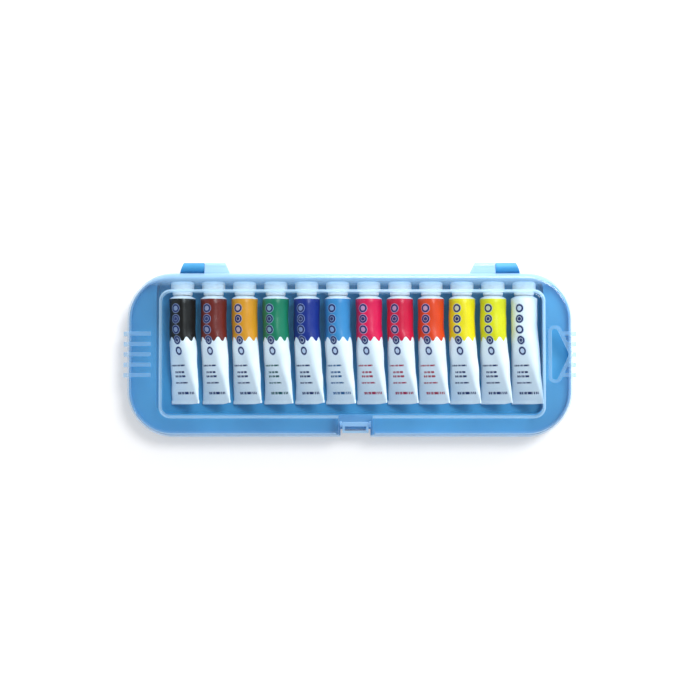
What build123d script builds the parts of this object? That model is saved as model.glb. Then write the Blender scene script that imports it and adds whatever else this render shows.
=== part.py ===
import os
from math import asin, copysign, cos, degrees, pi, radians, sin

from build123d import *

os.makedirs("parts", exist_ok=True)

# Gouache paint set: a translucent polypropylene tray with a clear hinged lid, and twelve
# aluminium tubes lying side by side in it.
# Millimetres. Origin: centre of the tray's underside. +X towards the hang hole, +Y towards
# the hinges, +Z up.

# ---------------------------------------------------------------- driving dimensions
# Paint tubes
tube_count = 12
tube_pitch = 18.8
tube_radius = 8.0
tube_wall = 0.3
barrel_length = 18.0  # straight part, before the tube closes
body_length = 61.3  # shoulder to crimp
crimp_width = 23.0
crimp_length = 2.4
crimp_thickness = 1.1
crimp_margin = 1.0  # the leaning crimp stands this much lower than the tube's diameter
crimp_drift = 2.0  # sideways, towards +X
crimp_rise = 0.25
barrel_sides = 16  # flats round the barrel and its closing part
shoulder_rise = 1.8
shoulder_top_radius = 5.4
neck_radius = 3.6
neck_length = 6.4
neck_sides = 12
orifice_radius = 1.5
orifice_sides = 8
paint_clearance = 0.05

# Caps
cap_gap = 0.3  # between shoulder and skirt
cap_skirt_radius = 6.0
cap_skirt_length = 2.7
cap_head_radius = 7.0
cap_head_length = 5.4
cap_sides = 16
cap_bore_sides = 16
cap_top = 1.4
cap_chamfer = 0.6
cap_clearance = 0.06

# Compartment, from the row of tubes outwards
tube_lift = 0.3  # clear of the tray's floor
row_space_left = 7.6
row_space_right = 3.6
crimp_space = 5.7  # in front of the crimps
cap_space = 2.3  # behind the caps
compartment_corner = 6.0
floor_chamfer = 1.2

# Case outline and heights, from the compartment outwards
border_end = 17.5
border_front = 14.0
border_back = 3.1
case_corner = 28.0
tray_height = 10.4
parting_gap = 0.2  # between the tray's top and the lid's lower edge
tube_headroom = 3.1
cap_headroom = 2.0

# Tray
tray_wall = 1.4
tray_draft = 2.0
lid_overhang = 1.0  # how far the lid's lower edge stands out past the tray's wall
foot_chamfer = 0.5
tongue_wall = 1.2  # rim that stands up inside the lid
tongue_height = 1.8
tongue_clearance = 0.3
gusset_wall = 1.2
gusset_foot = 3.0  # height of the gussets' lower edge
gusset_pitch = 44.0
gusset_count = 4
end_gusset_pitch = 26.0
end_gusset_count = 3

# Lid
lid_wall = 1.2
lid_draft = 8.0
lid_edge = 2.4  # first cut of the rounded upper edge
lid_edge_soft = 0.8  # second cut, along both sides of the first
lid_inner_chamfer = 0.8
plateau_inset_left = 2.5  # raised panel, from the compartment's sides
plateau_reach_right = 0.2
plateau_reach_front = 2.9
plateau_inset_back = 7.4
plateau_corner = 7.0
plateau_draft = 35.0
plateau_chamfer = 0.5

# Finger grips on both ends
grip_count = 5
grip_pitch = 6.2
grip_rib = 2.4
grip_run = 17.0  # how far each rib runs in over the lid
grip_proud = 1.9  # beyond the case's ends
grip_lift = 0.6  # above the lid's border
grip_edge = 2.6  # cut of the ribs' upper corner

# Hang hole in the lid's right end
hang_base = 30.4
hang_shoulder = 3.4  # blunt width of both ends of its straight side
hang_rise = 10.6
hang_inset = 13.7  # from the case's end to its straight side
hang_round = 1.5
hang_tip_round = 4.0
hang_rim = 1.9
hang_rim_height = 0.8

# Hinges
hinge_inset = 3.1  # straight wall between the case's corner and a tray lug
lug_length = 15.4
lug_gap = 0.4
lug_slant = 3.0
lug_root = 0.9  # how far an arm's root sinks into the wall
knuckle_radius = 2.9
knuckle_reach = 6.3  # how far a knuckle stands out past the case
pin_radius = 1.5
pin_length = 12.4
pin_clearance = 0.06
pin_end_gap = 0.4
arm_root_height = 4.2  # height of an arm where it meets the wall

# Front catch
catch_x = 3.3
bay_width = 20.6
bay_reach = 13.5  # from the case's front to the bay's back wall
bay_drop = 5.5  # bay floor below the lid's border
recess_width = 18.0
recess_depth = 4.8
catch_width = 15.6
catch_bar_depth = 2.7
catch_bar_inset = 4.2  # from the recess to the bar's back
catch_bar_height = 1.8
catch_bar_round = 0.45
catch_lift = 0.7  # bar above the bay floor
catch_plate = 1.2
catch_gap = 1.2  # between the recess wall and the leg
catch_slot_edge = 1.4
catch_bead = 0.5
catch_bead_gap = 0.6  # bead below the ledge
catch_pin_radius = 0.8
cheek_wall = 1.2
cheek_gap = 0.3
ledge_proud = 0.5
ledge_height = 7.4
ledge_rise = 1.4

# ---------------------------------------------------------------- derived places
row_length = (tube_count - 1) * tube_pitch + 2 * tube_radius
cap_length = cap_skirt_length + cap_head_length
stowed_length = crimp_length + body_length + shoulder_rise + cap_gap + cap_length
compartment_length = row_length + row_space_left + row_space_right
compartment_depth = stowed_length + crimp_space + cap_space
case_length = compartment_length + 2 * border_end
case_width = compartment_depth + border_front + border_back
compartment_front = border_front - case_width / 2
compartment_back = case_width / 2 - border_back
compartment_middle = (compartment_back + compartment_front) / 2

tube_middle = (row_space_left - row_space_right) / 2
tube_height = tray_wall + tube_lift + tube_radius
crimp_tilt = degrees(asin((2 * tube_radius - crimp_margin) / crimp_width))
shoulder_y = compartment_back - cap_space - cap_length - cap_gap - shoulder_rise
shoulder_top = shoulder_y + shoulder_rise
neck_end = shoulder_top + neck_length
cap_foot = shoulder_top + cap_gap
cap_step = cap_foot + cap_skirt_length
cap_end = cap_step + cap_head_length

lid_foot = tray_height + parting_gap
deck_height = tube_height + cap_head_radius + cap_headroom + lid_wall
plateau_height = tube_height + tube_radius + tube_headroom + lid_wall
plateau_left = plateau_inset_left - compartment_length / 2
plateau_right = compartment_length / 2 + plateau_reach_right
plateau_front = compartment_front - plateau_reach_front
plateau_back = compartment_back - plateau_inset_back
tongue_outset = lid_wall + tongue_clearance
hang_edge = case_length / 2 - hang_inset
hinge_joint = case_length / 2 - case_corner - hinge_inset - lug_length
hinge_y = case_width / 2 + knuckle_reach - knuckle_radius

bay_back = bay_reach - case_width / 2
bay_floor = deck_height - bay_drop
recess_y = recess_depth - case_width / 2
leg_back = recess_y - catch_gap
leg_front = leg_back - catch_plate
catch_bar_back = recess_y + catch_bar_inset
catch_bar_front = catch_bar_back - catch_bar_depth
catch_pin_y = (catch_bar_back + catch_bar_front) / 2
catch_bar_base = bay_floor + catch_lift
catch_pin_z = catch_bar_base + catch_bar_height / 2
catch_foot = ledge_height - ledge_rise - catch_bead_gap - catch_plate


# ---------------------------------------------------------------- tray
def case_plan(inset, mode=Mode.ADD):
    """Outline of the case, drawn in by inset."""
    length, width = case_length - 2 * inset, case_width - 2 * inset
    return RectangleRounded(length, width, case_corner - inset, mode=mode)


def compartment_plan(outset, mode=Mode.ADD):
    """Outline of the tubes' compartment, grown by outset."""
    with Locations((0, compartment_middle)):
        return RectangleRounded(
            compartment_length + 2 * outset,
            compartment_depth + 2 * outset,
            compartment_corner + outset,
            mode=mode,
        )


def catch_plan(width, edge, mode=Mode.SUBTRACT):
    """Rectangle at the catch, from outside the case's front in to Y = edge."""
    depth = case_width / 2 + edge + recess_depth
    with Locations((catch_x, edge - depth / 2)):
        return Rectangle(width, depth, mode=mode)


def hinge_lug(side, lid_part):
    """One knuckle and the arm that carries it; side is -1 for the left hinge and 1 for the right."""
    inward = -side if lid_part else side
    start = side * hinge_joint + inward * lug_gap / 2
    tip = start + inward * (lug_length - lug_gap / 2)
    level, rise = (lid_foot, 1) if lid_part else (tray_height, -1)
    wall_y = case_width / 2 if lid_part else case_width / 2 - lid_overhang
    root_y, root_z = wall_y - lug_root, level + rise * arm_root_height
    tip_z = tray_height + rise * knuckle_radius
    end_y = hinge_y + knuckle_radius
    with BuildPart() as lug:
        with BuildSketch(Plane.YZ.offset(start)):
            with Locations((hinge_y, tray_height)):
                Circle(knuckle_radius)
            Polygon((root_y, level), (hinge_y, level), (hinge_y, tip_z), (root_y, root_z), align=None)
        extrude(amount=tip - start)
        # Slanting outer corner
        with BuildSketch(Plane.XY):
            corner = tip - inward * lug_slant
            Polygon((tip, wall_y), (tip, end_y), (corner, end_y), align=None)
        extrude(amount=plateau_height, mode=Mode.SUBTRACT)
    return lug.part


with BuildPart() as tray:
    # Outer block with drafted sides
    with BuildSketch(Plane.XY.offset(tray_height)):
        case_plan(lid_overhang)
        catch_plan(recess_width, recess_y)
    extrude(amount=-tray_height, taper=tray_draft)
    chamfer(tray.faces().sort_by(Axis.Z)[0].edges(), foot_chamfer)
    # Compartment for the tubes
    with BuildSketch(Plane.XY.offset(tray_height)):
        compartment_plan(0)
    extrude(amount=tray_wall - tray_height, taper=tray_draft, mode=Mode.SUBTRACT)
    floor = tray.faces().filter_by(lambda face: abs(face.center().Z - tray_wall) < tray_wall / 10)
    chamfer(floor.sort_by(SortBy.AREA)[-1].edges(), floor_chamfer)
    # Hollow under the border, open to below
    with BuildSketch(Plane.XY):
        case_plan(lid_overhang + tray_wall)
        compartment_plan(tray_wall, mode=Mode.SUBTRACT)
        catch_plan(recess_width + 2 * tray_wall, recess_y + tray_wall)
    extrude(amount=tray_height - tray_wall, mode=Mode.SUBTRACT)
    # Gussets across that hollow
    with BuildSketch(Plane.XY.offset(gusset_foot)):
        front_reach = border_front - lid_overhang - 2 * tray_wall
        with Locations((0, lid_overhang + tray_wall - case_width / 2 + front_reach / 2)):
            with GridLocations(gusset_pitch, 1, gusset_count, 1):
                Rectangle(gusset_wall, front_reach)
        end_reach = border_end - lid_overhang - 2 * tray_wall
        end_span = compartment_length + 2 * tray_wall + end_reach
        with GridLocations(end_span, end_gusset_pitch, 2, end_gusset_count):
            Rectangle(end_reach, gusset_wall)
    extrude(amount=tray_height - tray_wall - gusset_foot)
    # Rim that stands up inside the lid
    with BuildSketch(Plane.XY.offset(tray_height)):
        case_plan(tongue_outset)
        case_plan(tongue_outset + tongue_wall, mode=Mode.SUBTRACT)
        catch_plan(bay_width + 2 * lid_wall + 2 * tongue_clearance, recess_y + lid_wall)
    extrude(amount=tongue_height)
    # Ledge under which the catch's bead sits
    ledge_foot = ledge_height - ledge_rise
    ledge_y = recess_y - ledge_proud
    with BuildSketch(Plane.YZ.offset(catch_x)):
        Polygon(
            (recess_y + tray_wall / 2, ledge_height),
            (recess_y, ledge_height),
            (ledge_y, (ledge_height + ledge_foot) / 2),
            (ledge_y, ledge_foot),
            (recess_y + tray_wall / 2, ledge_foot),
            align=None,
        )
    extrude(amount=catch_width / 2 - cheek_gap, both=True)
    # Hinge lugs with their bores
    for side in (-1, 1):
        add(hinge_lug(side, lid_part=False))
        with Locations(Plane((side * hinge_joint, hinge_y, tray_height), z_dir=(-side, 0, 0))):
            Hole(pin_radius + pin_clearance, depth=pin_length + pin_end_gap)
tray.part.label = "tray"
export_step(tray.part, "parts/tray.step")


# ---------------------------------------------------------------- lid
def lid_form(inset):
    """Solid outer form of the lid, drawn in by inset."""
    with BuildPart() as form:
        with BuildSketch(Plane.XY.offset(lid_foot)):
            case_plan(inset)
        extrude(amount=deck_height - inset - lid_foot, taper=lid_draft)
        if inset > 0:
            chamfer(form.faces().sort_by(Axis.Z)[-1].edges(), lid_inner_chamfer)
        else:
            chamfer(form.faces().sort_by(Axis.Z)[-1].edges(), lid_edge)
            deck = form.faces().sort_by(Axis.Z)[-1]
            brink = form.edges().group_by(Axis.Z)[1]
            chamfer(deck.edges() + brink, lid_edge_soft)
        # Raised panel
        with BuildSketch(Plane.XY.offset(deck_height - inset)):
            with Locations(((plateau_left + plateau_right) / 2, (plateau_front + plateau_back) / 2)):
                RectangleRounded(
                    plateau_right - plateau_left - 2 * inset,
                    plateau_back - plateau_front - 2 * inset,
                    plateau_corner - inset,
                )
        extrude(amount=plateau_height - deck_height, taper=plateau_draft)
        chamfer(form.faces().sort_by(Axis.Z)[-1].edges(), plateau_chamfer)
        # Finger recess through the front wall, and the bay behind it
        with BuildSketch(Plane.XY.offset(bay_floor - inset)):
            catch_plan(bay_width + 2 * inset, bay_back + inset, mode=Mode.ADD)
        extrude(amount=plateau_height, mode=Mode.SUBTRACT)
        with BuildSketch(Plane.XY.offset(lid_foot)):
            catch_plan(recess_width + 2 * inset, recess_y + inset, mode=Mode.ADD)
        extrude(amount=plateau_height, mode=Mode.SUBTRACT)
    return form.part


def hang_plan(margin=0.0):
    """The hang hole, a blunt triangle with its straight side towards the tubes, grown by margin."""
    shoulder = hang_edge + hang_shoulder
    with BuildSketch(Plane.XY.offset(tray_height + tongue_height)) as hole:
        Polygon(
            (hang_edge, -hang_base / 2),
            (shoulder, -hang_base / 2),
            (hang_edge + hang_rise, 0),
            (shoulder, hang_base / 2),
            (hang_edge, hang_base / 2),
            align=None,
        )
        tip = hole.vertices().sort_by(Axis.X)[-1]
        fillet(hole.vertices().sort_by(Axis.X)[:-1], hang_round)
        fillet(hole.vertices().sort_by_distance(tip)[0], hang_tip_round)
        if margin > 0:
            offset(amount=margin)
    return hole.sketch


with BuildPart() as grips:
    # Ribs over both ends of the lid; at the right end they stop at the hang hole's rim
    grip_end = case_length / 2 + grip_proud
    grip_start = grip_end - grip_run
    grip_rows = [(step - (grip_count - 1) / 2) * grip_pitch for step in range(grip_count)]
    for side in (-1, 1):
        middle_plane = Plane(origin=(0, 0, 0), x_dir=(side, 0, 0), z_dir=(0, -side, 0))
        with BuildSketch(*[middle_plane.offset(row) for row in grip_rows]):
            Polygon(
                (grip_start, lid_foot),
                (grip_end, lid_foot),
                (grip_end - lid_wall / 2, deck_height + grip_lift - grip_edge),
                (grip_end - lid_wall / 2 - grip_edge, deck_height + grip_lift),
                (grip_start, deck_height + grip_lift),
                align=None,
            )
        extrude(amount=grip_rib / 2, both=True)
    extrude(hang_plan(hang_rim), amount=plateau_height, mode=Mode.SUBTRACT)

with BuildPart() as lid:
    add(lid_form(0))
    add(grips.part)
    # Raised rim round the hang hole
    extrude(hang_plan(hang_rim), amount=deck_height + hang_rim_height - tray_height - tongue_height)
    # Hollow inside, with the lid's wall left all round
    add(lid_form(lid_wall), mode=Mode.SUBTRACT)
    extrude(hang_plan(), amount=plateau_height, mode=Mode.SUBTRACT)
    # Hinge lugs with the pins that turn in the tray's lugs
    for side in (-1, 1):
        add(hinge_lug(side, lid_part=True))
        with Locations(Plane((side * (hinge_joint - lug_gap), hinge_y, tray_height), z_dir=(side, 0, 0))):
            Cylinder(pin_radius, pin_length + lug_gap, align=(Align.CENTER, Align.CENTER, Align.MIN))
    # Cheeks that carry the catch
    cheek_depth = catch_bar_depth + 2 * cheek_gap
    cheek_foot = bay_floor - lid_wall / 2
    for side in (-1, 1):
        with BuildSketch(Plane.YZ.offset(catch_x + side * (catch_width / 2 + cheek_gap))):
            with Locations((catch_pin_y, (cheek_foot + catch_pin_z) / 2)):
                Rectangle(cheek_depth, catch_pin_z - cheek_foot)
            with Locations((catch_pin_y, catch_pin_z)):
                Circle(cheek_depth / 2)
                Circle(catch_pin_radius + pin_clearance, mode=Mode.SUBTRACT)
        extrude(amount=side * cheek_wall)
lid.part.label = "lid"
export_step(lid.part, "parts/lid.step")


# ---------------------------------------------------------------- front catch
with BuildPart() as catch:
    # Bar, arms and leg in one profile, bead at the foot of the leg
    with BuildSketch(Plane.YZ.offset(catch_x)):
        arm_top = catch_pin_z + catch_plate / 2
        bead_y = leg_back + catch_bead
        Polygon(
            (catch_bar_back, arm_top),
            (leg_front, arm_top),
            (leg_front, catch_foot),
            (bead_y, catch_foot),
            (bead_y, catch_foot + catch_plate / 2),
            (leg_back, catch_foot + catch_plate),
            (leg_back, arm_top - catch_plate),
            (catch_bar_back, arm_top - catch_plate),
            align=None,
        )
        with Locations((catch_pin_y, catch_pin_z)):
            Rectangle(catch_bar_depth, catch_bar_height)
    extrude(amount=catch_width / 2, both=True)
    # Slot between the bar and the leg
    with BuildSketch(Plane.XY.offset(bay_floor)):
        with Locations((catch_x, (catch_bar_front + leg_back) / 2)):
            Rectangle(catch_width - 2 * catch_slot_edge, catch_bar_front - leg_back)
    extrude(amount=plateau_height, mode=Mode.SUBTRACT)
    fillet(catch.edges().filter_by(Axis.X).group_by(Axis.Z)[-1], catch_bar_round)
    # Pins at both ends of the bar
    with BuildSketch(Plane.YZ.offset(catch_x)):
        with Locations((catch_pin_y, catch_pin_z)):
            Circle(catch_pin_radius)
    extrude(amount=catch_width / 2 + cheek_gap + cheek_wall, both=True)
catch.part.label = "catch"
export_step(catch.part, "parts/catch.step")


# ---------------------------------------------------------------- tubes, paint and caps
def across(x, y, rise=0.0):
    """Plane across a tube at Y = y, its X turned to the crimp's tilt, looking to the crimp."""
    tilt = radians(crimp_tilt)
    return Plane((x, y, tube_height + rise), x_dir=(cos(tilt), 0, sin(tilt)), z_dir=(0, -1, 0))


def ring(plane, radius, spread=0.0):
    """Corners of a polygon in the plane; spread draws its halves apart into a flattened oval."""
    turns = [2 * pi * (step + 0.5) / barrel_sides for step in range(barrel_sides)]
    return [
        plane.from_local_coords((radius * cos(turn) + copysign(spread, cos(turn)), radius * sin(turn)))
        for turn in turns
    ]


def barrel(x, inset):
    """Round barrel with its shoulder, closing to the flat crimp, drawn in by inset.

    The closing part is the hull of the barrel's end and the crimp, as in a tube pressed flat.
    """
    crimp_place = across(x + crimp_drift, shoulder_y - body_length, crimp_rise)
    shoulder = ring(across(x, shoulder_y), tube_radius - inset)
    waist = ring(across(x, shoulder_y - barrel_length), tube_radius - inset)
    top = ring(across(x, shoulder_top - inset), shoulder_top_radius - inset)
    crimp = ring(crimp_place, crimp_thickness / 2 - inset, (crimp_width - crimp_thickness) / 2)
    with BuildPart() as form:
        ConvexPolyhedron(top + shoulder + waist)
        ConvexPolyhedron(waist + crimp)
    return form.part


def column(x, start, end, radius, sides):
    """Straight many-sided column along a tube's axis, from Y = start to Y = end."""
    with BuildPart() as form:
        with BuildSketch(across(x, start)):
            RegularPolygon(radius, sides)
        extrude(amount=start - end)
    return form.part


for index in range(tube_count):
    tube_x = tube_middle + (index - (tube_count - 1) / 2) * tube_pitch
    number = f"{index + 1:02d}"

    with BuildPart() as tube:
        add(barrel(tube_x, 0))
        with BuildSketch(across(tube_x + crimp_drift, shoulder_y - body_length, crimp_rise)):
            Rectangle(crimp_width, crimp_thickness)
        extrude(amount=crimp_length)
        add(column(tube_x, shoulder_y, neck_end, neck_radius, neck_sides))
        add(barrel(tube_x, tube_wall), mode=Mode.SUBTRACT)
        add(column(tube_x, shoulder_y, neck_end, orifice_radius, orifice_sides), mode=Mode.SUBTRACT)
    tube.part.label = f"tube_{number}"
    export_step(tube.part, f"parts/tube_{number}.step")

    with BuildPart() as paint:
        add(barrel(tube_x, tube_wall + paint_clearance))
    paint.part.label = f"paint_{number}"
    export_step(paint.part, f"parts/paint_{number}.step")

    with BuildPart() as cap:
        # Many-sided head and skirt, and the bore that turns on the neck
        add(column(tube_x, cap_step, cap_end, cap_head_radius, cap_sides))
        chamfer(cap.faces().sort_by(Axis.Y)[-1].edges(), cap_chamfer)
        add(column(tube_x, cap_foot, cap_step, cap_skirt_radius, cap_sides))
        with BuildSketch(across(tube_x, cap_foot)):
            RegularPolygon(neck_radius + cap_clearance, cap_bore_sides, major_radius=False)
        extrude(amount=cap_foot + cap_top - cap_end, mode=Mode.SUBTRACT)
    cap.part.label = f"cap_{number}"
    export_step(cap.part, f"parts/cap_{number}.step")
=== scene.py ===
# %% [markdown]
# # A gouache paint set in its plastic case
#
# The set is a flat case of moulded polypropylene: a sky-blue tray and a clear, slightly milky
# lid that turns on two hinges at the back. Twelve lacquered aluminium tubes lie side by side
# inside it. The CAD frame already gives every place and every moving body, so this notebook
# only adds surfaces: finer shapes where the CAD model is plain, and a material for each piece.

# %% Load the frame and measure it
import math
import random

import bmesh
import bpy
from mathutils import Matrix, Vector, noise


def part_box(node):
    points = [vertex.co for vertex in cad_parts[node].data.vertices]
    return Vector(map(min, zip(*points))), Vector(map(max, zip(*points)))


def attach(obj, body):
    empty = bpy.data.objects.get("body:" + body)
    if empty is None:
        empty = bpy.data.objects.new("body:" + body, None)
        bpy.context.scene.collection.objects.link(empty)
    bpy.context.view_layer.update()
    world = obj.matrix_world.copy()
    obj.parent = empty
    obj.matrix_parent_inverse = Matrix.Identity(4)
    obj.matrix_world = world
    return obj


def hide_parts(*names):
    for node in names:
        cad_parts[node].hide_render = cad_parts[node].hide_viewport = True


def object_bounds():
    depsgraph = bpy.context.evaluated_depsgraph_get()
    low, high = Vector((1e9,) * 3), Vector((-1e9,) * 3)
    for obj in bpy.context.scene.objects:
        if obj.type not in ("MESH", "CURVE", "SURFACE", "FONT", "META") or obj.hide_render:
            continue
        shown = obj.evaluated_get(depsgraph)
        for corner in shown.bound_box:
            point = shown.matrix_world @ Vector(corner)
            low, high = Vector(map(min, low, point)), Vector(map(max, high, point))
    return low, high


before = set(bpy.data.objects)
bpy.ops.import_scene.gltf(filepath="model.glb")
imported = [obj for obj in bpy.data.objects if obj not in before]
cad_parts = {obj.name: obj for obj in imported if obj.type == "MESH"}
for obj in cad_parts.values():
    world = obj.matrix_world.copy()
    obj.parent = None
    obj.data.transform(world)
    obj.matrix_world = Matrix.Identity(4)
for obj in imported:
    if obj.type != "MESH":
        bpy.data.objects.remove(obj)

MM = 0.001
cad_low, cad_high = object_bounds()
TUBES = [f"{number:02d}" for number in range(1, 13)]
size = [round(v / MM, 1) for v in cad_high - cad_low]
print("CAD box in mm:", size, "with", len(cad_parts), "nodes")

# %% [markdown]
# ## Colours and nodes
#
# A colour chart gives sRGB values, and Blender's shaders work in linear light, so one function
# turns a hex value into linear numbers. A second function adds a shader node with its settings
# and its links. The rest are short cuts for what every material below needs: a Math node, a
# mix of two colours, an empty node tree and its output.

# %% Colour and node helpers
def linear(hex_colour, alpha=1.0):
    """Linear RGBA from an sRGB hex value such as "#5FA9DC"."""
    parts = [int(hex_colour[start:start + 2], 16) / 255 for start in (1, 3, 5)]
    return (*[c / 12.92 if c <= 0.04045 else ((c + 0.055) / 1.055) ** 2.4 for c in parts], alpha)


def add_node(tree, kind, inputs=None, **settings):
    """One shader node; inputs are numbers, colours or other nodes' output sockets."""
    node = tree.nodes.new(kind)
    for name, value in settings.items():
        setattr(node, name, value)
    for key, value in (inputs or {}).items():
        if isinstance(value, bpy.types.NodeSocket):
            tree.links.new(value, node.inputs[key])
        else:
            node.inputs[key].default_value = value
    return node


def maths(tree, operation, *values, clamp=False):
    """One Math node's result."""
    node = add_node(
        tree, "ShaderNodeMath", dict(enumerate(values)), operation=operation, use_clamp=clamp
    )
    return node.outputs[0]


def over(tree, mask, below, above):
    """The colour above where the mask is 1, and the colour below where it is 0."""
    mix = add_node(tree, "ShaderNodeMix", {0: mask, 6: below, 7: above}, data_type="RGBA")
    return mix.outputs[2]


def new_material(name):
    """An empty node material and its tree."""
    material = bpy.data.materials.new(name)
    material.use_nodes = True
    material.node_tree.nodes.clear()
    return material, material.node_tree


def finish_material(tree, surface):
    """Joins a shader to the material's output."""
    add_node(tree, "ShaderNodeOutputMaterial", {"Surface": surface})

# %% [markdown]
# ## Blue polypropylene for the tray
#
# The tray is injection-moulded polypropylene with a little blue pigment. Light passes through
# its thin walls, so it glows a paler blue where the white table shines through it and looks
# deeper where two walls lie behind each other. A Translucent shader beside the usual Principled
# one gives that glow. The moulded skin is satin, with a very fine grain.

# %% Tray plastic
TRAY_BLUES = (0.3, "#429BD0"), (0.7, "#54B2E4")  # place on the noise's ramp, colour
TRAY_GLOW = 0.3  # share of the light that comes through the wall


def blue_polypropylene():
    """Pigmented translucent polypropylene, injection-moulded, satin."""
    material, tree = new_material("Blue polypropylene moulded")
    place = add_node(tree, "ShaderNodeTexCoord").outputs["Object"]
    cloud = add_node(
        tree, "ShaderNodeTexNoise", {"Vector": place, "Scale": 1 / (40 * MM), "Detail": 2.0}
    )
    tint = add_node(tree, "ShaderNodeValToRGB", {"Fac": cloud.outputs["Fac"]})
    for stop, (position, hex_colour) in zip(tint.color_ramp.elements, TRAY_BLUES):
        stop.position, stop.color = position, linear(hex_colour)
    # Moulding grain, drawn at 0.8 mm
    grain = add_node(
        tree, "ShaderNodeTexNoise", {"Vector": place, "Scale": 1 / (0.8 * MM), "Detail": 1.0}
    )
    bump = add_node(
        tree, "ShaderNodeBump",
        {"Height": grain.outputs["Fac"], "Strength": 0.08, "Distance": 0.1 * MM},
    )
    skin = add_node(
        tree, "ShaderNodeBsdfPrincipled",
        {"Base Color": tint.outputs["Color"], "Roughness": 0.34, "IOR": 1.49,
         "Normal": bump.outputs["Normal"]},
    )
    glow = add_node(tree, "ShaderNodeBsdfTranslucent", {"Color": tint.outputs["Color"]})
    body = add_node(
        tree, "ShaderNodeMixShader", {0: TRAY_GLOW, 1: skin.outputs[0], 2: glow.outputs[0]}
    )
    finish_material(tree, body.outputs[0])
    return material


tray_plastic = blue_polypropylene()
print("made", tray_plastic.name)

# %% [markdown]
# ## Clear polypropylene for the lid
#
# The lid is the same plastic without pigment. It is only about a millimetre thick, so what lies
# under it shows almost unchanged, and thick refracting glass would be the wrong model: each wall
# is treated as a thin sheet. Seen flat on, it is nearly invisible. Seen along the wall, as at
# rounded edges, the milkiness adds up and the edge looks white. Layer Weight gives that change,
# and also the gloss, which is 4% face on and rises steeply towards the edge. The raised panel
# over the tubes comes from a polished part of the mould. The border round it is finely etched,
# so it keeps a thin veil even flat on. At the ribs of the grips, the rim of the hang hole and the
# hinge arms the veil is denser, partly for the thicker plastic and partly as a painted highlight
# for the light on their rounded edges. Two more veils are painted light: a paler veil in the bay
# round the catch lifts its shade, and the border grows whiter towards the hinges as a painted
# glow of the light from behind.

# %% Where the lid is polished, etched and thick, and where light is painted on it
# All in mm. PANEL and BAY: middle and half length along X, along Y, and corner radius
PANEL = ((1.35, 114.0), (0.3, 36.8), 5.6)  # the flat top of the raised panel
BAY = ((3.3, 10.4), (-42.8, 6.8), 0.5)  # the recess round the catch
DECK = 19.9  # top of the border; ribs and rims stand above it
CASE_END, CASE_BACK = 134.6, 49.6  # grips and hinge arms stand out beyond these
BACK_GLOW_SPAN = (41.0, 46.0)  # between these the border is painted whiter towards the hinges, a painted glow of the light from behind
# Veil seen face on, as a share of white: thin border, and what the thick places add, partly as a
# painted highlight on their edges; then painted light: the paler bay round the catch, which lifts
# its shade, and the painted glow of the light from behind towards the hinges
THIN_VEIL, THICK_AND_HIGHLIGHT_VEIL, PAINTED_BAY_LIGHT, PAINTED_BACK_GLOW = 0.06, 0.27, 0.2, 0.48
PANEL_GAIN, BORDER_GAIN = 0.15, 0.7  # what the edges gain on the panel, and more on the border
CATCH_VEIL, CATCH_GAIN = 0.6, 0.3
FACE_SHINE, EDGE_SHINE = 0.04, 0.6


def inside(tree, axes, box):
    """1 within a box with rounded corners, given by its middle and half length along X and Y."""
    *spans, corner = box
    squares = []
    for axis, (middle, half) in zip(axes, spans):
        apart = maths(tree, "ABSOLUTE", maths(tree, "SUBTRACT", axis, middle))
        past = maths(tree, "MAXIMUM", maths(tree, "SUBTRACT", apart, half - corner), 0.0)
        squares.append(maths(tree, "POWER", past, 2))
    return maths(tree, "LESS_THAN", maths(tree, "ADD", *squares), corner ** 2)


def lid_veil(tree, axes):
    """The lid's milkiness seen face on, with painted light in the bay, on the ribs and rims and
    towards the hinges, and how much of it the edges gain, from the place in mm.
    """
    border = maths(tree, "SUBTRACT", 1.0, inside(tree, axes, PANEL))
    gain = maths(tree, "MULTIPLY_ADD", border, BORDER_GAIN, PANEL_GAIN)
    # The ribs, the hang hole's rim and the hinge arms get a denser veil: partly the thicker
    # plastic, partly a painted highlight standing in for the light on their rounded edges.
    proud = maths(tree, "GREATER_THAN", axes[2], DECK + 0.1)
    beyond = maths(tree, "GREATER_THAN", maths(tree, "ABSOLUTE", axes[0]), CASE_END)
    beyond = maths(tree, "MAXIMUM", beyond, maths(tree, "GREATER_THAN", axes[1], CASE_BACK))
    thick = maths(tree, "MAXIMUM", proud, beyond)
    thick = maths(tree, "MULTIPLY_ADD", thick, THICK_AND_HIGHLIGHT_VEIL, THIN_VEIL)
    # Painted light: a paler veil over the bay round the catch lifts the shade that lies in it.
    bay_light = maths(tree, "MULTIPLY", inside(tree, axes, BAY), PAINTED_BAY_LIGHT)
    # Painted glow of the light from behind: the border grows whiter towards the hinges.
    back_glow = add_node(
        tree, "ShaderNodeMapRange",
        {"Value": axes[1], 1: BACK_GLOW_SPAN[0], 2: BACK_GLOW_SPAN[1], 3: 0.0, 4: PAINTED_BACK_GLOW},
    ).outputs[0]
    return maths(tree, "MULTIPLY_ADD", thick, border, maths(tree, "ADD", bay_light, back_glow)), gain


# %% Lid plastic
MILK = "#BFE2F8"


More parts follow.
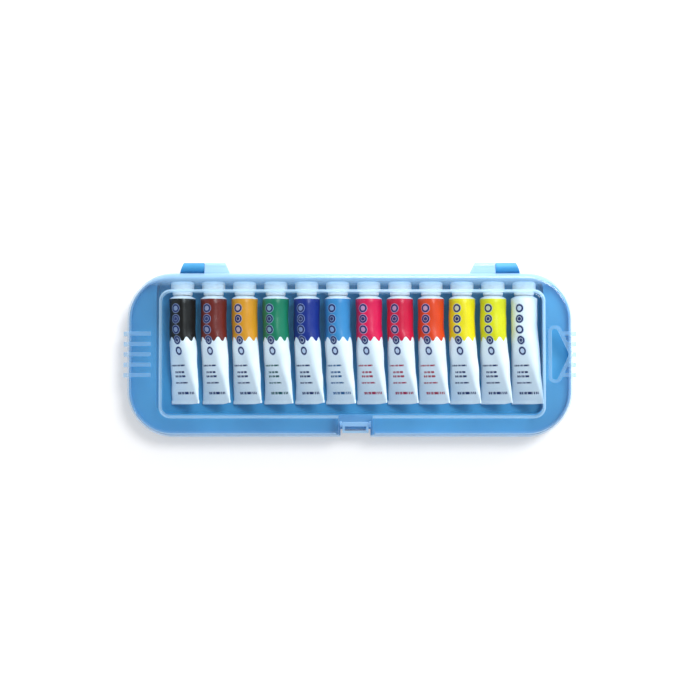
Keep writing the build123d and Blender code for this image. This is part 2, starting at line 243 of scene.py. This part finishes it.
def clear_polypropylene(name, milkiness):
    """Unpigmented polypropylene sheet; milkiness gives its veil face on and the edges' gain."""
    material, tree = new_material(name)
    place = add_node(tree, "ShaderNodeTexCoord").outputs["Object"]
    in_mm = add_node(tree, "ShaderNodeVectorMath", {0: place, 3: 1 / MM}, operation="SCALE")
    axes = add_node(tree, "ShaderNodeSeparateXYZ", {0: in_mm.outputs[0]}).outputs
    facing = add_node(tree, "ShaderNodeLayerWeight", {"Blend": 0.5}).outputs["Facing"]
    steep = add_node(tree, "ShaderNodeMapRange", {"Value": facing, 1: 0.2, 2: 0.7}).outputs[0]
    flat, gain = milkiness(tree, axes)
    veil = maths(tree, "MULTIPLY_ADD", steep, gain, flat, clamp=True)
    milk = add_node(tree, "ShaderNodeBsdfDiffuse", {"Color": linear(MILK), "Roughness": 0.4})
    through = add_node(tree, "ShaderNodeBsdfTranslucent", {"Color": linear(MILK)})
    haze = add_node(
        tree, "ShaderNodeMixShader", {0: 0.5, 1: milk.outputs[0], 2: through.outputs[0]}
    )
    clear = add_node(tree, "ShaderNodeBsdfTransparent", {"Color": linear("#F9FDFF")})
    wall = add_node(tree, "ShaderNodeMixShader", {0: veil, 1: clear.outputs[0], 2: haze.outputs[0]})
    flow = add_node(
        tree, "ShaderNodeTexNoise", {"Vector": place, "Scale": 1 / (30 * MM), "Detail": 1.0}
    )
    bump = add_node(
        tree, "ShaderNodeBump",
        {"Height": flow.outputs["Fac"], "Strength": 0.05, "Distance": 0.2 * MM},
    )
    gloss = add_node(
        tree, "ShaderNodeBsdfGlossy",
        {"Color": (1, 1, 1, 1), "Roughness": 0.12, "Normal": bump.outputs["Normal"]},
    )
    shine = maths(tree, "POWER", facing, 5)
    shine = maths(tree, "MULTIPLY_ADD", shine, EDGE_SHINE, FACE_SHINE)
    body = add_node(
        tree, "ShaderNodeMixShader", {0: shine, 1: wall.outputs[0], 2: gloss.outputs[0]}
    )
    finish_material(tree, body.outputs[0])
    return material


lid_plastic = clear_polypropylene("Clear polypropylene moulded", lid_veil)
catch_plastic = clear_polypropylene(
    "Clear polypropylene thick", lambda tree, axes: (CATCH_VEIL, CATCH_GAIN)
)
print("made", lid_plastic.name, "and", catch_plastic.name)

# %% [markdown]
# ## The case: tray, lid and catch
#
# These shapes are moulded shells that the CAD model already has in full, with their walls,
# gussets, ribs and lugs. Nothing is gained by modelling them again. Each is a copy of its CAD
# mesh: the loose triangles are joined, flat faces are cleaned up, and the shading is made smooth
# except at real corners. Weighted normals keep the large flat faces flat.

# %% Shells from the CAD solids
EDGE_SOFTNESS = 0.25 * MM


def shell_from(node, name, material, body, crease=32):
    """A smooth-shaded copy of a CAD node that stands for it."""
    bm = bmesh.new()
    bm.from_mesh(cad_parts[node].data)
    bmesh.ops.remove_doubles(bm, verts=bm.verts, dist=0.002 * MM)
    bmesh.ops.dissolve_limit(bm, angle_limit=math.radians(0.5), verts=bm.verts, edges=bm.edges)
    mesh = bpy.data.meshes.new(name)
    bm.to_mesh(mesh)
    bm.free()
    mesh.polygons.foreach_set("use_smooth", [True] * len(mesh.polygons))
    mesh.set_sharp_from_angle(angle=math.radians(crease))
    mesh.materials.append(material)
    piece = bpy.data.objects.new(name, mesh)
    bpy.context.scene.collection.objects.link(piece)
    bevel = piece.modifiers.new("Soft edges", "BEVEL")
    bevel.width, bevel.segments, bevel.limit_method = EDGE_SOFTNESS, 2, "ANGLE"
    bevel.angle_limit = math.radians(crease)
    normals = piece.modifiers.new("Flat faces", "WEIGHTED_NORMAL")
    normals.keep_sharp = True
    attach(piece, body)
    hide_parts(node)
    print(name, len(mesh.polygons), "faces")
    return piece


tray_shell = shell_from("tray", "tray_shell", tray_plastic, "tray")
lid_shell = shell_from("lid", "lid_shell", lid_plastic, "lid")
catch_piece = shell_from("catch", "front_catch", catch_plastic, "catch")

# %% [markdown]
# ## Printed lacquer for the tubes
#
# A paint tube is a thin aluminium shell, coated outside with white lacquer and printed before it
# is filled. The print is a band in the colour of the paint and dark blue marks. It follows the
# metal wherever the tube is squeezed, so it is drawn in the tube's own UV map, in which U runs
# round the tube and V along it, both in units of 100 mm.

# %% Paint colours and sizes of the print
NAVY = "#1F2B62"
COLOURS = {
    "01": ("black", "#080706", NAVY),
    "02": ("burnt_sienna", "#6F1C12", NAVY),
    "03": ("ochre", "#DE951C", NAVY),
    "04": ("green", "#067A58", "#1F5A5C"),
    "05": ("ultramarine", "#0B2A84", NAVY),
    "06": ("sky_blue", "#378AC2", "#2C5F93"),
    "07": ("magenta", "#E4084E", "#B2224A"),
    "08": ("crimson", "#D4083C", "#B2224A"),
    "09": ("vermilion", "#E5420E", "#B2324A"),
    "10": ("yellow", "#F2DA08", NAVY),
    "11": ("lemon", "#E4DB0A", NAVY),
    "12": ("white", "#F1F4F7", NAVY),
}
TUBE_RADIUS = 8 * MM
UV_UNIT = 100 * MM
BAND_END = 24.5  # mm along the tube from here on
WAVE_LENGTH, WAVE_HEIGHT = 5.6, 1.3
COLUMN = 16.4  # mm round the tube from its right-hand side
BEADS = [(6.0, 2.5), (12.4, 2.5), (18.8, 2.5), (25.2, 2.5), (31.6, 2.5)]  # along, radius
BEAD_LINE, BEAD_HALO = 1.05, 0.35
HALO_SHARE = 0.55  # how much of the band the light line round a bead hides
ROWS = [  # place along and round the tube, length and height of each row of marks, all in mm
    (40.4, 18.6, 12.0, 1.0), (44.4, 18.6, 8.0, 1.2), (46.9, 18.6, 9.0, 1.2),
    (50.8, 18.4, 11.0, 0.9), (57.0, 16.0, 15.0, 1.5),
]
DASHES_PER_MM, DASH_LEVEL = 1.3, 0.44


# %% Lacquer and print
def bead_masks(tree, around, along):
    """Masks of a column of discs and rings, and of the thin light line round each."""
    ink, halo = 0.0, 0.0
    for index, (row, radius) in enumerate(BEADS):
        apart_x = maths(tree, "SUBTRACT", around, COLUMN)
        apart_y = maths(tree, "SUBTRACT", along, row)
        squares = (maths(tree, "POWER", apart, 2) for apart in (apart_x, apart_y))
        reach = maths(tree, "SQRT", maths(tree, "ADD", *squares))
        line = maths(tree, "COMPARE", reach, radius - BEAD_LINE / 2, BEAD_LINE / 2)
        core = maths(tree, "LESS_THAN", reach, radius * (0.45 if index % 2 else 0.0))
        ink = maths(tree, "MAXIMUM", ink, maths(tree, "MAXIMUM", line, core))
        halo = maths(tree, "MAXIMUM", halo, maths(tree, "LESS_THAN", reach, radius + BEAD_HALO))
    return ink, halo


def row_mask(tree, around, along):
    """Rows of short dashes, as long as lines of small print but with no letters."""
    dashes = add_node(
        tree, "ShaderNodeTexNoise", {"W": around, "Scale": DASHES_PER_MM, "Detail": 1.0},
        noise_dimensions="1D",
    )
    mask = 0.0
    for row, middle, length, height in ROWS:
        high = maths(tree, "COMPARE", along, row, height / 2)
        long = maths(tree, "COMPARE", around, middle, length / 2)
        mask = maths(tree, "MAXIMUM", mask, maths(tree, "MULTIPLY", high, long))
    dash = maths(tree, "GREATER_THAN", dashes.outputs["Fac"], DASH_LEVEL)
    return maths(tree, "MULTIPLY", mask, dash)


def printed_lacquer(name, band_hex, ink_hex):
    """White lacquer on aluminium with a band of one colour and dark marks."""
    material, tree = new_material(f"Printed lacquer {name}")
    print_map = add_node(tree, "ShaderNodeUVMap", uv_map="print").outputs[0]
    axes = add_node(tree, "ShaderNodeSeparateXYZ", {0: print_map})
    around, along = (maths(tree, "MULTIPLY", axis, UV_UNIT / MM) for axis in axes.outputs[:2])
    place = add_node(tree, "ShaderNodeTexCoord").outputs["Object"]
    cloud = add_node(
        tree, "ShaderNodeTexNoise", {"Vector": place, "Scale": 1 / (9 * MM), "Detail": 3.0}
    )
    white = over(tree, cloud.outputs["Fac"], linear("#E6EEF6"), linear("#FAFCFE"))
    wave = maths(tree, "SINE", maths(tree, "MULTIPLY", around, math.tau / WAVE_LENGTH))
    edge = maths(tree, "MULTIPLY_ADD", wave, WAVE_HEIGHT, BAND_END)
    shoulder = maths(tree, "GREATER_THAN", along, 0.2)
    band = maths(tree, "MULTIPLY", maths(tree, "LESS_THAN", along, edge), shoulder)
    ink, halo = bead_masks(tree, around, along)
    colour = over(tree, band, white, linear(band_hex))
    colour = over(tree, maths(tree, "MULTIPLY", halo, HALO_SHARE), colour, linear("#A9BCE6"))
    colour = over(tree, ink, colour, linear(NAVY))
    colour = over(tree, row_mask(tree, around, along), colour, linear(ink_hex))
    dents = add_node(
        tree, "ShaderNodeTexNoise", {"Vector": place, "Scale": 1 / (4 * MM), "Detail": 2.0}
    )
    bump = add_node(
        tree, "ShaderNodeBump",
        {"Height": dents.outputs["Fac"], "Strength": 0.3, "Distance": 0.5 * MM},
    )
    lacquer = add_node(
        tree, "ShaderNodeBsdfPrincipled",
        {"Base Color": colour, "Roughness": 0.32, "IOR": 1.5, "Specular IOR Level": 0.35,
         "Normal": bump.outputs["Normal"]},
    )
    finish_material(tree, lacquer.outputs[0])
    return material


lacquers = {number: printed_lacquer(*COLOURS[number]) for number in TUBES}
print("printed", len(lacquers), "colours")

# %% [markdown]
# ## The shape of a squeezed tube
#
# The barrel leaves the shoulder round and is pressed flat at the far end, where the metal is
# folded over into a crimp. The circumference of the metal can't change, so the width grows as the
# height shrinks, and every section between is a circle pulled apart into two halves. The body is
# first spun as a straight tube, which is when its print map is made. Then each point is moved to
# its place on the pressed section, at the same share of the way round, and a soft noise adds the
# dents that aluminium keeps.

# %% Tube sizes
BARREL = 18 * MM
BODY = 61.3 * MM
CRIMP_WIDTH = 23 * MM
CRIMP_LENGTH = 2.4 * MM
CRIMP_THICK = 1.1 * MM
CRIMP_TILT = math.asin((2 * TUBE_RADIUS - 1 * MM) / CRIMP_WIDTH)
CRIMP_RISE = 0.25 * MM
SHOULDER_RISE = 1.8 * MM
SHOULDER_RADIUS = 5.4 * MM
NECK_RADIUS = 3.6 * MM
NECK_LENGTH = 6.4 * MM
ORIFICE_RADIUS = 1.5 * MM
CAP_GAP = 0.3 * MM
SIDES = 64
CLOSING_STEPS = 24
DENT_DEPTH = 0.5 * MM
CRIMP_RIDGES = (0.8, 1.0, 0.8, 1.0, 0.8, 0.56)  # share of the crimp's thickness along the fold


def tube_axis(number):
    """Where a tube's axis meets its shoulder, and how far its crimp has drifted sideways."""
    cap_low, cap_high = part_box(f"cap_{number}")
    tube_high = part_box(f"tube_{number}")[1]
    x, z = (cap_low.x + cap_high.x) / 2, (cap_low.z + cap_high.z) / 2
    reach = CRIMP_WIDTH / 2 * math.cos(CRIMP_TILT) + CRIMP_THICK / 2 * math.sin(CRIMP_TILT)
    return Vector((x, cap_low.y - CAP_GAP - SHOULDER_RISE, z)), tube_high.x - reach - x


origin, drift = tube_axis("01")
shoulder = [round(v / MM, 1) for v in origin]
print("first tube's shoulder in mm:", shoulder, "drift", round(drift / MM, 2))

# %% A straight tube and its print map
NECK_END = -(SHOULDER_RISE + NECK_LENGTH)
BODY_PROFILE = [  # radius and distance from the shoulder's edge
    (ORIFICE_RADIUS, NECK_END + 1.5 * MM), (ORIFICE_RADIUS, NECK_END),
    (NECK_RADIUS - 0.4 * MM, NECK_END), (NECK_RADIUS, NECK_END + 0.4 * MM),
    (NECK_RADIUS, -SHOULDER_RISE - 0.2 * MM),
    (SHOULDER_RADIUS - 0.3 * MM, -SHOULDER_RISE), (SHOULDER_RADIUS, -SHOULDER_RISE + 0.2 * MM),
    (TUBE_RADIUS - 0.35 * MM, -0.3 * MM), (TUBE_RADIUS, 0.35 * MM),
    *[(TUBE_RADIUS, distance * MM) for distance in (3, 6, 9, 12, 15, 18)],
    *[
        (TUBE_RADIUS, BARREL + (BODY - BARREL) * step / CLOSING_STEPS)
        for step in range(1, CLOSING_STEPS + 1)
    ],
]


def spun(profile, sides):
    """A profile of (radius, distance along -Y) spun a full turn round the Y axis."""
    bm = bmesh.new()
    line = [bm.verts.new((radius, -distance, 0)) for radius, distance in profile]
    edges = [bm.edges.new(pair) for pair in zip(line, line[1:])]
    bmesh.ops.spin(
        bm, geom=line + edges, cent=(0, 0, 0), axis=(0, 1, 0),
        angle=math.tau, steps=sides, use_merge=True,
    )
    bmesh.ops.recalc_face_normals(bm, faces=bm.faces)
    return bm


def add_print_map(bm):
    """UV map "print": the arc round the tube and the distance from the shoulder, in UV_UNIT."""
    layer = bm.loops.layers.uv.new("print")
    for face in bm.faces:
        middle = face.calc_center_median()
        reference = math.atan2(middle.z, middle.x) % math.tau
        for loop in face.loops:
            angle = math.atan2(loop.vert.co.z, loop.vert.co.x) % math.tau
            angle += math.tau * round((reference - angle) / math.tau)
            loop[layer].uv = (angle * TUBE_RADIUS / UV_UNIT, -loop.vert.co.y / UV_UNIT)


# %% Pressing the tube flat
def pulled_circle(turn, radius, half):
    """Place at a share of the way round a circle whose halves are pulled apart by half each."""
    arc, flat = math.pi * radius / 2, 2 * half
    length = (turn % 1.0) * (4 * arc + 2 * flat)
    side = 1
    if length > 2 * arc + flat:
        length, side = 4 * arc + 2 * flat - length, -1
    if length < arc:
        return half + radius * math.cos(length / radius), side * radius * math.sin(length / radius)
    if length < arc + flat:
        return half + arc - length, side * radius
    angle = (length - arc - flat) / radius
    return -half - radius * math.sin(angle), side * radius * math.cos(angle)


def pressed_place(angle, distance, drift, inset=0.0):
    """X and Z of the metal at an angle round the tube and a distance from the shoulder."""
    share = min(1.0, max(0.0, (distance - BARREL) / (BODY - BARREL)))
    radius = (1 - share) * TUBE_RADIUS + share * CRIMP_THICK / 2 - inset
    half = share * (CRIMP_WIDTH - CRIMP_THICK) / 2
    across, up = pulled_circle((angle - CRIMP_TILT) / math.tau, radius, half)
    x = across * math.cos(CRIMP_TILT) - up * math.sin(CRIMP_TILT) + share * drift
    return x, across * math.sin(CRIMP_TILT) + up * math.cos(CRIMP_TILT) + share * CRIMP_RISE


def press(bm, drift, seed, dent_depth, inset=0.0):
    """Moves a straight tube's vertices to their pressed places, with dents."""
    for vert in bm.verts:
        distance = -vert.co.y
        if distance < 0.3 * MM:
            continue
        angle = math.atan2(vert.co.z, vert.co.x)
        x, z = pressed_place(angle, distance, drift, inset)
        fade = min(1.0, distance / (6 * MM)) * min(1.0, max(0.0, (BODY - distance) / (9 * MM)))
        dent = noise.noise(Vector((x, vert.co.y * 0.6, z)) / (6 * MM) + seed) - 0.2
        dent *= dent_depth * fade
        middle = drift * max(0.0, distance - BARREL) / (BODY - BARREL)
        grown = 1 + dent / TUBE_RADIUS
        vert.co.x, vert.co.z = middle + (x - middle) * grown, z * grown


# %% Folding the crimp
def fold_crimp(bm, drift, flap):
    """Extrudes the open end into a ridged strip whose right-hand corner is bent back by flap."""
    rim = [
        edge for edge in bm.edges
        if edge.is_boundary and max(vert.co.y for vert in edge.verts) < -BODY * 0.9
    ]
    turn = Matrix.Rotation(-CRIMP_TILT, 3, "Y")  # from the frame to the crimp's own axes and back
    for step, ridge in enumerate(CRIMP_RIDGES):
        grown = bmesh.ops.extrude_edge_only(bm, edges=rim)["geom"]
        rim = [part for part in grown if isinstance(part, bmesh.types.BMEdge) and part.is_boundary]
        for vert in (part for part in grown if isinstance(part, bmesh.types.BMVert)):
            own = turn.inverted() @ (vert.co - Vector((drift, 0, CRIMP_RISE)))
            share = (step + 1) / len(CRIMP_RIDGES)
            bend = flap * max(0.0, own.x / (CRIMP_WIDTH / 2) - 0.5) * share
            own.z = math.copysign(CRIMP_THICK / 2 * ridge, own.z)
            vert.co = turn @ own + Vector((drift, 0, CRIMP_RISE))
            vert.co.y = -BODY - CRIMP_LENGTH * share + bend
    bmesh.ops.holes_fill(bm, edges=rim, sides=0)


def new_piece(bm, name, location, *materials, crease=40):
    """An object from a bmesh, smooth-shaded, at a place in the frame."""
    mesh = bpy.data.meshes.new(name)
    bm.to_mesh(mesh)
    bm.free()
    mesh.polygons.foreach_set("use_smooth", [True] * len(mesh.polygons))
    mesh.set_sharp_from_angle(angle=math.radians(crease))
    for material in materials:
        mesh.materials.append(material)
    mesh.transform(Matrix.Translation(location))
    piece = bpy.data.objects.new(name, mesh)
    bpy.context.scene.collection.objects.link(piece)
    return piece


# %% Twelve bodies
seeds = {}
for number in TUBES:
    place, drift = tube_axis(number)
    dice = random.Random(int(number) * 7)
    seeds[number] = Vector((dice.uniform(0, 50), dice.uniform(0, 50), dice.uniform(0, 50)))
    bm = spun(BODY_PROFILE, SIDES)
    add_print_map(bm)
    press(bm, drift, seeds[number], DENT_DEPTH)
    fold_crimp(bm, drift, dice.uniform(0.8, 2.0) * MM)
    body = new_piece(bm, f"tube_{number}_body", place, lacquers[number])
    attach(body, f"tube_{number}")
    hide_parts(f"tube_{number}")

# %% [markdown]
# ## Caps
#
# A screw cap for such a tube is polyethylene: a narrow skirt, then a wider knurled head with a
# softly rounded end. The knurls are made by moving every other vertex of the head inwards.

# %% Cap plastic and caps
CAP_SKIRT = (6.0 * MM, 2.7 * MM)  # radius and length
CAP_HEAD = (7.0 * MM, 5.4 * MM)
KNURLS = 40
KNURL_DEPTH = 0.3 * MM


def white_polyethylene():
    """White polyethylene, slightly soft in its light."""
    material, tree = new_material("White polyethylene")
    skin = add_node(
        tree, "ShaderNodeBsdfPrincipled",
        {"Base Color": linear("#F3F6FA"), "Roughness": 0.38, "IOR": 1.51, "Subsurface Weight": 0.2,
         "Subsurface Radius": (1.0, 1.0, 1.0), "Subsurface Scale": 1.5 * MM},
    )
    finish_material(tree, skin.outputs[0])
    return material


cap_plastic = white_polyethylene()


def screw_cap(number):
    """Skirt and knurled head of one cap."""
    low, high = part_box(f"cap_{number}")
    (skirt, skirt_length), (head, head_length) = CAP_SKIRT, CAP_HEAD
    total = skirt_length + head_length
    profile = [  # radius and distance from the skirt's open end
        (NECK_RADIUS + 0.1 * MM, 0), (skirt - 0.3 * MM, 0), (skirt, 0.3 * MM),
        (skirt, skirt_length - 0.2 * MM), (head - 0.25 * MM, skirt_length),
        (head, skirt_length + 0.3 * MM), (head, total - 1.1 * MM),
        (head - 0.3 * MM, total - 0.4 * MM), (head - 1.0 * MM, total), (0.4 * MM, total),
    ]
    bm = spun([(radius, -distance) for radius, distance in profile], 2 * KNURLS)
    for vert in bm.verts:
        radius = math.hypot(vert.co.x, vert.co.z)
        turn = round(math.atan2(vert.co.z, vert.co.x) / math.tau * 2 * KNURLS)
        if radius > head - 0.1 * MM and turn % 2:
            share = 1 - KNURL_DEPTH / radius
            vert.co.x, vert.co.z = vert.co.x * share, vert.co.z * share
    place = Vector(((low.x + high.x) / 2, low.y, (low.z + high.z) / 2))
    cap = new_piece(bm, f"cap_{number}_screw", place, cap_plastic, crease=50)
    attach(cap, f"cap_{number}")
    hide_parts(f"cap_{number}")
    return cap


caps = [screw_cap(number) for number in TUBES]
print("made", len(caps), "caps")

# %% [markdown]
# ## Gouache
#
# The paste inside shows at the neck of an opened tube. Gouache is matt and dense: nearly no
# gloss when dry, a faint sheen when wet.

# %% Paste in the tubes
FILL_INSET = 1 * MM  # between the paste and the outside of the metal
FILL_PROFILE = [
    (0.05 * MM, NECK_END + 1.2 * MM), (ORIFICE_RADIUS - 0.1 * MM, NECK_END + 1.2 * MM),
    (ORIFICE_RADIUS - 0.1 * MM, -SHOULDER_RISE + FILL_INSET),
    (SHOULDER_RADIUS - FILL_INSET, -SHOULDER_RISE + FILL_INSET),
    (TUBE_RADIUS - FILL_INSET, FILL_INSET), (TUBE_RADIUS - FILL_INSET, BARREL),
    *[(TUBE_RADIUS - FILL_INSET, BARREL + (BODY - BARREL) * step / 10) for step in range(1, 9)],
    (0.05 * MM, BARREL + (BODY - BARREL) * 0.8),
]


def gouache(name, paste_hex):
    """Wet gouache paste in one colour."""
    material, tree = new_material(f"Gouache paste {name}")
    paste = add_node(
        tree, "ShaderNodeBsdfPrincipled",
        {"Base Color": linear(paste_hex), "Roughness": 0.55, "IOR": 1.4},
    )
    finish_material(tree, paste.outputs[0])
    return material


for number in TUBES:
    place, drift = tube_axis(number)
    bm = spun(FILL_PROFILE, 24)
    press(bm, drift, seeds[number], 0.0, inset=FILL_INSET)
    fill = new_piece(bm, f"paint_{number}_fill", place, gouache(*COLOURS[number][:2]))
    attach(fill, f"tube_{number}")
    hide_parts(f"paint_{number}")
print("filled", len(TUBES), "tubes")

# %% [markdown]
# ## Table, light and camera
#
# The set lies on a white table in a white room. A broad window at the back right gives the
# shadows, and a weak strip of light behind the hinges draws the edges of the lid. The table is
# part plain white for the rays that look at it, so that it hardly differs from the background,
# but it keeps the shadow. The camera looks almost straight down, tilted by 2.5 degrees.

# %% Table
TABLE_HALF = 3.0  # m
GROUND_SHARE = 0.35


def seen_directly(tree):
    """1 for camera, glossy and transmission rays, and 0 for the rays that only carry light."""
    ray = add_node(tree, "ShaderNodeLightPath").outputs
    seen = maths(tree, "MAXIMUM", ray["Is Camera Ray"], ray["Is Glossy Ray"])
    return maths(tree, "MAXIMUM", seen, ray["Is Transmission Ray"])


def white_table():
    """White lacquered board, with a soft white ground that lightens its shadows to the eye."""
    material, tree = new_material("White table")
    lit = add_node(tree, "ShaderNodeBsdfDiffuse", {"Color": linear("#F9F9FB")})
    ground = add_node(tree, "ShaderNodeEmission", {"Color": (1, 1, 1, 1), "Strength": 1.0})
    share = maths(tree, "MULTIPLY", seen_directly(tree), GROUND_SHARE)
    body = add_node(
        tree, "ShaderNodeMixShader", {0: share, 1: lit.outputs[0], 2: ground.outputs[0]}
    )
    finish_material(tree, body.outputs[0])
    return material


bm = bmesh.new()
bmesh.ops.create_grid(bm, x_segments=1, y_segments=1, size=TABLE_HALF)
table = new_piece(bm, "table", Vector((0, 0, cad_low.z)), white_table())

# %% Light
ROOM_LEVEL = 0.6  # light of the room on the set; the walls look white, at level 1
CEILING_PATCH, PATCH_EDGE = 0.1, 0.8  # the patch's level, and the least height of its rays
WINDOW_TOWARDS = (0.42, 0.42, 1.0)
STRIP_PLACE, STRIP_SIZE, STRIP_WATTS = (0.3, 0.5, 0.25), (0.8, 0.2), 5.0
world = bpy.data.worlds.new("Studio")
bpy.context.scene.world = world
world.use_nodes = True
sky = world.node_tree
sky.nodes.clear()
# The walls are white to look at and in reflections, except for a dark patch of ceiling
# straight above the set, which keeps the lid's reflections off the tubes.
ray = add_node(sky, "ShaderNodeLightPath")
towards = add_node(sky, "ShaderNodeTexCoord").outputs["Generated"]
up = add_node(sky, "ShaderNodeSeparateXYZ", {0: towards})
patch = maths(sky, "GREATER_THAN", up.outputs[2], PATCH_EDGE)
patch = maths(sky, "MULTIPLY", patch, ray.outputs["Is Glossy Ray"])
walls = maths(sky, "MULTIPLY_ADD", seen_directly(sky), 1 - ROOM_LEVEL, ROOM_LEVEL)
level = maths(sky, "SUBTRACT", walls, maths(sky, "MULTIPLY", patch, 1 - CEILING_PATCH))
studio = add_node(sky, "ShaderNodeBackground", {"Color": (1, 1, 1, 1), "Strength": level})
add_node(sky, "ShaderNodeOutputWorld", {"Surface": studio.outputs[0]})

sun = bpy.data.lights.new("Window", "SUN")
sun.energy = 1.8
sun.angle = math.radians(20)
window = bpy.data.objects.new("Window", sun)
window.rotation_euler = Vector(WINDOW_TOWARDS).to_track_quat("Z", "Y").to_euler()
strip = bpy.data.lights.new("Strip behind", "AREA")
strip.shape, strip.energy = "RECTANGLE", STRIP_WATTS
strip.size, strip.size_y = STRIP_SIZE
back = bpy.data.objects.new("Strip behind", strip)
back.location = STRIP_PLACE
back.rotation_euler = Vector(back.location).to_track_quat("Z", "Y").to_euler()
for lamp in (window, back):
    bpy.context.scene.collection.objects.link(lamp)

# %% Camera
FOCAL_MM, SENSOR_MM = 85, 36
FIELD = 0.42  # m: width of the picture at the set
TILT = math.radians(2.5)
view = bpy.data.cameras.new("Camera")
view.lens, view.sensor_width = FOCAL_MM, SENSOR_MM
camera = bpy.data.objects.new("Camera", view)
bpy.context.scene.collection.objects.link(camera)
bpy.context.scene.camera = camera
target = (cad_low + cad_high) / 2
target.y, target.z = target.y - 0.5 * MM, cad_low.z + 18 * MM
distance = FIELD * FOCAL_MM / SENSOR_MM
camera.location = target + Vector((0, -math.sin(TILT), math.cos(TILT))) * distance
camera.rotation_euler = (TILT, 0, 0)
scene = bpy.context.scene
scene.view_settings.view_transform = "Standard"
